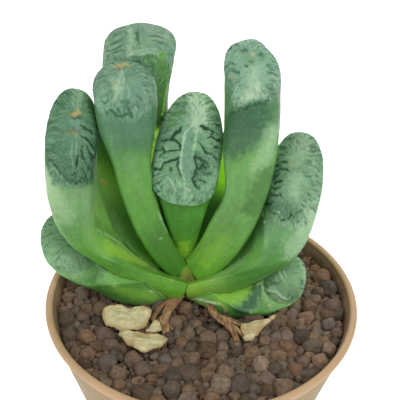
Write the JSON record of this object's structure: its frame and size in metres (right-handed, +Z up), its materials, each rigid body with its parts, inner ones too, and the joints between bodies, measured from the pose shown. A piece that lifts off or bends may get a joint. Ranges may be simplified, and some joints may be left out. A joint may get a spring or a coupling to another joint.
{
  "type": "potted haworthia",
  "caption": "Rosette of thick blunt leaves with half-clear cut-off tips, in a tapered round pot of coarse rounded grit.",
  "frame": {"origin": "on the ground, on the pot's axis, level with the pot's foot ring", "axes": "+Z up, -Y towards the front, where most leaf windows face, +X to the viewer's right"},
  "size_m": [0.0816, 0.08, 0.1233],
  "materials": {
    "pot": "matt clay-coloured moulding",
    "soil": "rough reddish-brown fired-clay and pumice grit",
    "leaf": "satin green skin, blue-green half-clear windows",
    "stem": "dull green-brown plant stem",
    "dry_leaf": "matt, dry and papery",
    "withered_base": "matt, brown and fibrous"
  },
  "bodies": {
    "root": {"pot": "pot", "soil": "soil", "crown_stem": "stem", "leaf_centre": "leaf", "leaf_left_inner": "leaf", "leaf_right_inner": "leaf", "leaf_back_tall": "leaf", "leaf_left_outer": "leaf", "leaf_right_outer": "leaf", "leaf_behind_left": "leaf", "leaf_behind_right": "leaf", "leaf_behind_centre": "leaf", "leaf_right_low": "leaf", "leaf_left_low": "leaf", "dry_leaf_left_wide": "dry_leaf", "dry_leaf_left_front": "dry_leaf", "dry_leaf_left_small": "dry_leaf", "dry_leaf_right": "dry_leaf", "withered_base_left": "withered_base", "withered_base_right": "withered_base"}
  },
  "joints": []
}
